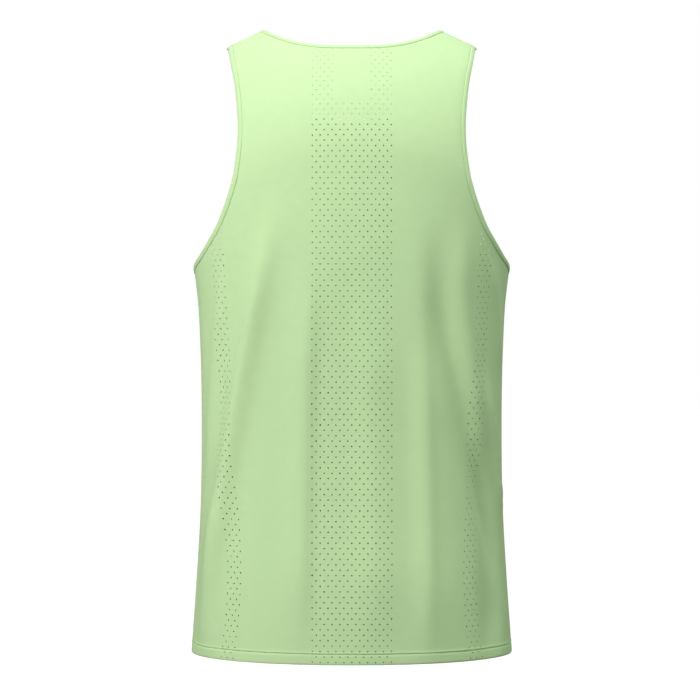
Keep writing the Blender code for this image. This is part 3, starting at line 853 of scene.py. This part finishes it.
def binding_rings(side, path, width, at_neck, sign):
    """Cross-sections of a binding along one edge, and their cut places."""
    edge, inner = edge_stations(side, path, width, at_neck)
    rings, cuts = [], []
    for across, off in BINDING_SECTION:
        track = inner + (edge - inner) * across
        rings.append(lifted(side, sign * track[:, 0], track[:, 1], off * MM)[0])
        cuts.append(flat_map(sign * track[:, 0], track[:, 1]))
    return np.stack(rings, axis=1), np.stack(cuts, axis=1)


def stitch_track(side, path, width, at_neck, sign):
    """Points and outward directions along the stitches beside a binding."""
    edge, inner = edge_stations(side, path, width, at_neck)
    across, up = (inner + (edge - inner) * DITCH_SHARE).T
    height = np.full(len(up), NECK_DITCH) if at_neck else np.interp(up, *ARMHOLE_DITCH)
    base, above = lifted(side, sign * across, up, height, height + MM)
    return base, (above - base) / MM


def hem_track(side):
    """Points and outward directions along a panel's hem stitching, an open track."""
    up = np.full(HEM_STATIONS, HEM_Z + HEM_TURN)
    reach = side_distance(side, up[:1])[0] - SEAM_GAP
    across = np.linspace(-reach, reach, HEM_STATIONS)
    base, above = lifted(side, across, up, HEM_THREAD_OFF, HEM_THREAD_OFF + MM)
    return base, (above - base) / MM, False


def joined(quarters):
    """Stretches of a closed edge, end to end."""
    return [np.concatenate([part[k] for part in quarters]) for k in range(len(quarters[0]))]


def around_neck(make, width):
    """Runs make along the four quarters of the neck edge."""
    quarters = []
    for side, sign in ((BACK, 1), (FRONT, 1), (FRONT, -1), (BACK, -1)):
        parts = make(side, NECK_PATH[side], width, True, sign)
        outwards = (side == BACK) == (sign == 1)
        quarters.append([part[:-1] if outwards else part[:0:-1] for part in parts])
    return joined(quarters)


def around_armhole(make, width, sign):
    """Runs make down the back and up the front of one armhole."""
    back = make(BACK, ARMHOLE_PATH[BACK], width, False, sign)
    front = make(FRONT, ARMHOLE_PATH[FRONT], width, False, sign)
    return joined([back, [part[-2:0:-1] for part in front]])


def make_binding(name, rings, cuts, inside_out):
    """A folded binding: closed sections joined all the way round."""
    stations, corners = rings.shape[:2]
    faces = []
    for station in range(stations):
        following = (station + 1) % stations
        for corner in range(corners):
            beside = (corner + 1) % corners
            face = (station * corners + corner, following * corners + corner,
                    following * corners + beside, station * corners + beside)
            faces.append(face[::-1] if inside_out else face)
    return new_object(name, rings.reshape(-1, 3), faces, cuts.reshape(-1, 2),
                      knit("folded_binding_lime"))


THREAD_SIDES = 6
STITCH_SHARE = 0.86         # share of its pitch that one stitch covers
THREAD_PROFILE = (
    # share of the stitch's length, height off its track in thread radii, share of thickness
    (0.00, -1.2, 0.55),
    (0.18, 0.0, 0.95),
    (0.50, 0.35, 1.0),
    (0.82, 0.0, 0.95),
    (1.00, -1.2, 0.55),
)


def make_stitching(name, tracks, diameter, material):
    """Rows of single stitches of thread along tracks of points and normals."""
    cloth = bpy.context.scene.singlet_cloth
    radius = diameter / 2
    vertices, faces = [], []
    for base, out, closed in tracks:
        if closed:
            base, out = np.vstack((base, base[:1])), np.vstack((out, out[:1]))
        length = path_length(base)
        count = int(length[-1] / cloth.stitch_length)
        start = np.arange(count) * length[-1] / count
        reach = STITCH_SHARE * length[-1] / count

        def along(values, mark):
            return np.stack([np.interp(mark, length, values[:, k]) for k in range(3)], axis=1)

        chord = along(base, start + reach) - along(base, start)
        chord /= np.linalg.norm(chord, axis=1)[:, None]
        normal = along(out, start + reach / 2)
        normal /= np.linalg.norm(normal, axis=1)[:, None]
        across = np.cross(chord, normal)
        rings = []
        for share, rise, girth in THREAD_PROFILE:
            middle = along(base, start + reach * share) + normal * radius * rise
            for side in range(THREAD_SIDES):
                angle = 2 * math.pi * side / THREAD_SIDES
                spoke = across * math.cos(angle) + normal * math.sin(angle)
                rings.append(middle + spoke * radius * girth)
        first = sum(len(block) for block in vertices)
        vertices.append(np.stack(rings, axis=1).reshape(-1, 3))
        ring_count = len(THREAD_PROFILE)
        for stitch in range(count):
            at = first + stitch * ring_count * THREAD_SIDES
            for ring in range(ring_count - 1):
                for side in range(THREAD_SIDES):
                    beside = (side + 1) % THREAD_SIDES
                    low, high = at + ring * THREAD_SIDES, at + (ring + 1) * THREAD_SIDES
                    faces.append((low + side, low + beside, high + beside, high + side))
            last = at + (ring_count - 1) * THREAD_SIDES
            faces.append(tuple(at + side for side in reversed(range(THREAD_SIDES))))
            faces.append(tuple(last + side for side in range(THREAD_SIDES)))
    vertices = np.vstack(vertices)
    return new_object(name, vertices, faces, np.zeros((len(vertices), 2)), material)


def srgb(hex_value):
    """Linear colour of an sRGB hex value."""
    channels = [int(hex_value[k:k + 2], 16) / 255 for k in (1, 3, 5)]
    linear = [c / 12.92 if c <= 0.04045 else ((c + 0.055) / 1.055) ** 2.4 for c in channels]
    return (*linear, 1.0)


def add_node(tree, kind, settings=None, links=None):
    """Adds a node with its settings, socket values and incoming links."""
    node = tree.nodes.new(kind)
    for key, value in (settings or {}).items():
        if isinstance(key, str) and hasattr(node, key):
            setattr(node, key, value)
        else:
            node.inputs[key].default_value = value
    for key, source in (links or {}).items():
        tree.links.new(source, node.inputs[key])
    return node


# The knitted materials: the properties that hold their colour and their darker
# colour, loop width, relief, roughness.  The darker colour is painted shade in the
# loops' grooves, and the darker patches of the dye's unevenness.  A real loop is
# about 0.5 mm wide, too fine to show, so the loops are drawn as coarse as they need to be
KNITS = {
    # The pressed face of a weft-knitted polyester: matt and even, with shallow loops
    "polyester_jersey_lime": ("jersey", "jersey_groove_shade_and_dye", 0.0014, 0.5, 0.8),
    # Its back, whose loops lie crosswise and unpressed: duller, and its darker colour is
    # painted shade of the garment's hollow, seen through the openings and the holes
    "polyester_painted_shade_reverse": ("painted_shade_reverse", "painted_shade_reverse", 0.0014, 0.3, 0.9),
    # A strip of it, folded and pulled tight: smaller loops and a smoother look
    "folded_binding_lime": ("binding", "jersey_groove_shade_and_dye", 0.0010, 0.4, 0.75),
}
LOOP_RELIEF = 0.0001
MOTTLE_PER_METRE = 90.0     # unevenness of the yarn's dye, in patches of about 11 mm
MOTTLE_SHARE = 0.65
THREADS = {                 # name, property that holds its colour
    "sewing_thread_lime": "thread",
    # its dark colour is painted shadow of the groove beside each binding
    "seam_shadow_thread_green": "seam_shadow_thread",
}


def new_material(name, values):
    """A material with its shader's uniform values, its node tree and the shader."""
    material = bpy.data.materials.new(name)
    material.use_nodes = True
    shader = material.node_tree.nodes["Principled BSDF"]
    for socket, value in values.items():
        shader.inputs[socket].default_value = value
    return material, material.node_tree, shader


def knit(name):
    """A knitted material, made once: small loops, with a faint bloom at grazing angles."""
    if name in bpy.data.materials:
        return bpy.data.materials[name]
    light, shade, loop, bump, roughness = KNITS[name]
    colours = bpy.context.scene.singlet_colours
    light, shade = srgb(getattr(colours, light)), srgb(getattr(colours, shade))
    material, tree, shader = new_material(name, {
        "Roughness": roughness, "Specular IOR Level": 0.25,
        "Sheen Weight": 0.05, "Sheen Roughness": 0.5})
    place = add_node(tree, "ShaderNodeUVMap", {"uv_map": "cut"}).outputs["UV"]
    split = add_node(tree, "ShaderNodeSeparateXYZ", links={"Vector": place})
    waves = []
    for axis in ("X", "Y"):
        turns = add_node(tree, "ShaderNodeMath", {"operation": 'MULTIPLY', 1: 2 * math.pi / loop},
                         {0: split.outputs[axis]})
        waves.append(add_node(tree, "ShaderNodeMath", {"operation": 'SINE'},
                              {0: turns.outputs[0]}).outputs[0])
    loops = add_node(tree, "ShaderNodeMath", {"operation": 'MULTIPLY'}, {0: waves[0], 1: waves[1]})
    level = add_node(tree, "ShaderNodeMapRange", {"From Min": -1.0, "From Max": 1.0},
                     {"Value": loops.outputs[0]})
    mottle = add_node(tree, "ShaderNodeTexNoise", {"Scale": MOTTLE_PER_METRE, "Detail": 3.0},
                      {"Vector": place})
    loops_share = add_node(tree, "ShaderNodeMath",
                           {"operation": 'MULTIPLY', 1: 1.0 - MOTTLE_SHARE}, {0: level.outputs[0]})
    share = add_node(tree, "ShaderNodeMath", {"operation": 'MULTIPLY_ADD', 1: MOTTLE_SHARE},
                     {0: mottle.outputs["Fac"], 2: loops_share.outputs[0]})
    # Darker towards the loops' grooves as painted shade, and in the dye's darker patches
    colour = add_node(tree, "ShaderNodeMix", {"data_type": 'RGBA', 6: shade, 7: light},
                      {0: share.outputs[0]})
    tree.links.new(colour.outputs[2], shader.inputs["Base Color"])
    relief = add_node(tree, "ShaderNodeBump", {"Strength": bump, "Distance": LOOP_RELIEF},
                      {"Height": level.outputs[0]})
    tree.links.new(relief.outputs["Normal"], shader.inputs["Normal"])
    return material


def thread(name):
    """Spun polyester thread, made once: matt, and too fine for its twist to show."""
    if name in bpy.data.materials:
        return bpy.data.materials[name]
    colour = getattr(bpy.context.scene.singlet_colours, THREADS[name])
    return new_material(name, {"Base Color": srgb(colour), "Roughness": 0.6})[0]


def dressed(obj, slot, *nodes):
    """Gives a finished piece to the part's one body, in place of its solids."""
    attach(obj, "root")
    if nodes:
        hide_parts(*nodes)


class SINGLET_OT_back_panel(bpy.types.Operator):
    """Cut the perforated back panel and drape it"""
    bl_idname = "singlet.back_panel"
    bl_label = "Back Panel"

    def execute(self, context):
        dressed(make_panel("back_panel", BACK, True), "jersey", "back")
        return {'FINISHED'}


class SINGLET_OT_front_panel(bpy.types.Operator):
    """Cut the plain front panel and drape it"""
    bl_idname = "singlet.front_panel"
    bl_label = "Front Panel"

    def execute(self, context):
        dressed(make_panel("front_panel", FRONT, False), "jersey", "front")
        return {'FINISHED'}


class SINGLET_OT_neck_binding(bpy.types.Operator):
    """Fold the binding round the neck edge"""
    bl_idname = "singlet.neck_binding"
    bl_label = "Neck Binding"

    def execute(self, context):
        width = context.scene.singlet_cloth.neck_binding_width
        rings, cuts = around_neck(binding_rings, width)
        obj = make_binding("neck_band", rings, cuts, False)
        dressed(obj, "binding", "neck_binding")
        return {'FINISHED'}


class SINGLET_OT_armhole_bindings(bpy.types.Operator):
    """Fold the bindings round both armholes"""
    bl_idname = "singlet.armhole_bindings"
    bl_label = "Armhole Bindings"

    def execute(self, context):
        width = context.scene.singlet_cloth.armhole_binding_width
        for word, sign in ARMHOLES:
            rings, cuts = around_armhole(binding_rings, width, sign)
            obj = make_binding(f"armhole_band_{word}", rings, cuts, sign == 1)
            dressed(obj, "binding", f"armhole_binding_{word}")
        return {'FINISHED'}


class SINGLET_OT_stitching(bpy.types.Operator):
    """Sew the visible rows of stitches"""
    bl_idname = "singlet.stitching"
    bl_label = "Stitching"

    def execute(self, context):
        cloth = context.scene.singlet_cloth
        base, out = around_neck(stitch_track, cloth.neck_binding_width)
        # The stitches in the ditch take a dark thread: painted shadow of the groove beside each
        # binding
        ditch = thread("seam_shadow_thread_green")
        obj = make_stitching("neck_stitching", [(base, out, True)],
                             cloth.neck_thread_diameter, ditch)
        dressed(obj, "binding")
        for word, sign in ARMHOLES:
            base, out = around_armhole(stitch_track, cloth.armhole_binding_width, sign)
            obj = make_stitching(f"armhole_stitching_{word}", [(base, out, True)],
                                 cloth.armhole_thread_diameter, ditch)
            dressed(obj, "binding")
        for word, side in (("back", BACK), ("front", FRONT)):
            obj = make_stitching(f"{word}_hem_stitching", [hem_track(side)],
                                 cloth.thread_diameter, thread("sewing_thread_lime"))
            dressed(obj, "jersey")
        return {'FINISHED'}


class SINGLET_OT_declare_cloth(bpy.types.Operator):
    """A step that does nothing"""
    bl_idname = "singlet.declare_cloth"
    bl_label = "Declare Cloth"

    def execute(self, context):
        return {'FINISHED'}


FLOOR_RADIUS = 30.0
FLOOR_Z = -1.25             # well below the hem, so no shadow meets the garment
SENSOR_WIDTH = 36.0
LIGHT_DISTANCE = 2.5
KEY_WHITE = "#FFFFFF"
BOUNCE_WHITE = "#EEFFF0"    # light that has come back off the pale green cloth
STUDIO_LIGHTS = (
    # name, turn from +Y towards +X, height (degrees), diameter, share of key power, colour
    ("key_light", 36.0, 29.0, 1.5, 1.0, KEY_WHITE),
    ("side_softbox", -35.0, 20.0, 1.4, 0.28, BOUNCE_WHITE),
    ("top_light", -84.0, 64.0, 1.2, 0.57, KEY_WHITE),
    ("left_rim_light", 95.0, 5.0, 1.2, 0.18, BOUNCE_WHITE),
    ("right_rim_light", -105.0, 5.0, 1.2, 0.10, BOUNCE_WHITE),
    ("front_light", 172.0, 32.0, 1.6, 0.34, KEY_WHITE),
)


class SINGLET_OT_studio(bpy.types.Operator):
    """Set up the floor, the lights and the camera"""
    bl_idname = "singlet.studio"
    bl_label = "Studio"

    def execute(self, context):
        studio = context.scene.singlet_studio
        bpy.ops.object.select_all(action='DESELECT')
        bpy.ops.mesh.primitive_circle_add(vertices=96, radius=FLOOR_RADIUS, fill_type='NGON',
                                          location=(0.0, 0.0, FLOOR_Z))
        floor = context.object
        floor.name = "studio_floor"
        # Matt white paper, given a glow that leaves no shadow and no grain to see
        pale = (*studio.backdrop, 1.0)
        paper = new_material("white_paper_matt", {
            "Base Color": pale, "Roughness": 1.0,
            "Emission Color": pale, "Emission Strength": 1.0})[0]
        floor.data.materials.append(paper)
        floor.visible_diffuse = False
        floor.visible_glossy = False
        world = bpy.data.worlds.new("studio_white")
        world.use_nodes = True
        tree = world.node_tree
        sky = tree.nodes["Background"]
        sky.inputs["Color"].default_value = pale
        ray = add_node(tree, "ShaderNodeLightPath")
        strength = add_node(tree, "ShaderNodeMapRange",
                            {"To Min": studio.fill_strength, "To Max": 1.0},
                            {"Value": ray.outputs["Is Camera Ray"]})
        tree.links.new(strength.outputs[0], sky.inputs["Strength"])
        context.scene.world = world
        for name, turn, height, size, power, colour in STUDIO_LIGHTS:
            turn, height = math.radians(turn), math.radians(height)
            toward = Vector((math.sin(turn) * math.cos(height),
                             math.cos(turn) * math.cos(height), math.sin(height)))
            centre = Vector((0.0, 0.0, studio.camera_height))
            bpy.ops.object.light_add(type='AREA', location=centre + toward * LIGHT_DISTANCE)
            light = context.object
            light.name = name
            light.data.shape = 'DISK'
            light.data.size = size
            light.data.energy = power * studio.key_power
            light.data.color = srgb(colour)[:3]
            light.rotation_euler = (-toward).to_track_quat('-Z', 'Y').to_euler()
        bpy.ops.object.camera_add(
            location=(studio.camera_shift, studio.camera_distance, studio.camera_height),
            rotation=(math.pi / 2, 0.0, math.pi))
        camera = context.object
        camera.data.sensor_width = SENSOR_WIDTH
        camera.data.lens = studio.lens
        context.scene.camera = camera
        context.scene.view_settings.view_transform = 'Standard'
        return {'FINISHED'}


PIECES = (
    SINGLET_OT_back_panel,
    SINGLET_OT_front_panel,
    SINGLET_OT_neck_binding,
    SINGLET_OT_armhole_bindings,
    SINGLET_OT_stitching,
    SINGLET_OT_declare_cloth,
    SINGLET_OT_studio,
)
SETTINGS = (
    ("singlet_cloth", SingletCloth),
    ("singlet_colours", SingletColours),
    ("singlet_studio", SingletStudio),
)


class SINGLET_PT_sewing(bpy.types.Panel):
    """Lists the pieces and the settings that they read"""
    bl_idname = "SINGLET_PT_sewing"
    bl_label = "Running Singlet"
    bl_space_type = 'VIEW_3D'
    bl_region_type = 'UI'
    bl_category = "Singlet"

    def draw(self, context):
        for name, group in SETTINGS:
            box = self.layout.box()
            box.label(text=group.__doc__)
            for key in group.__annotations__:
                box.prop(getattr(context.scene, name), key)
        for piece in PIECES:
            self.layout.operator(piece.bl_idname)


def register():
    """Add the settings, the operators and the panel."""
    for name, group in SETTINGS:
        bpy.utils.register_class(group)
        setattr(bpy.types.Scene, name, PointerProperty(type=group))
    for piece in PIECES + (SINGLET_PT_sewing,):
        bpy.utils.register_class(piece)


def unregister():
    """Take them away again."""
    for piece in reversed(PIECES + (SINGLET_PT_sewing,)):
        bpy.utils.unregister_class(piece)
    for name, group in reversed(SETTINGS):
        delattr(bpy.types.Scene, name)
        bpy.utils.unregister_class(group)


def main():
    """Sew the singlet and set up the studio."""
    register()
    for piece in PIECES:
        group, name = piece.bl_idname.split(".")
        getattr(getattr(bpy.ops, group), name)()


if __name__ == "__main__":
    main()
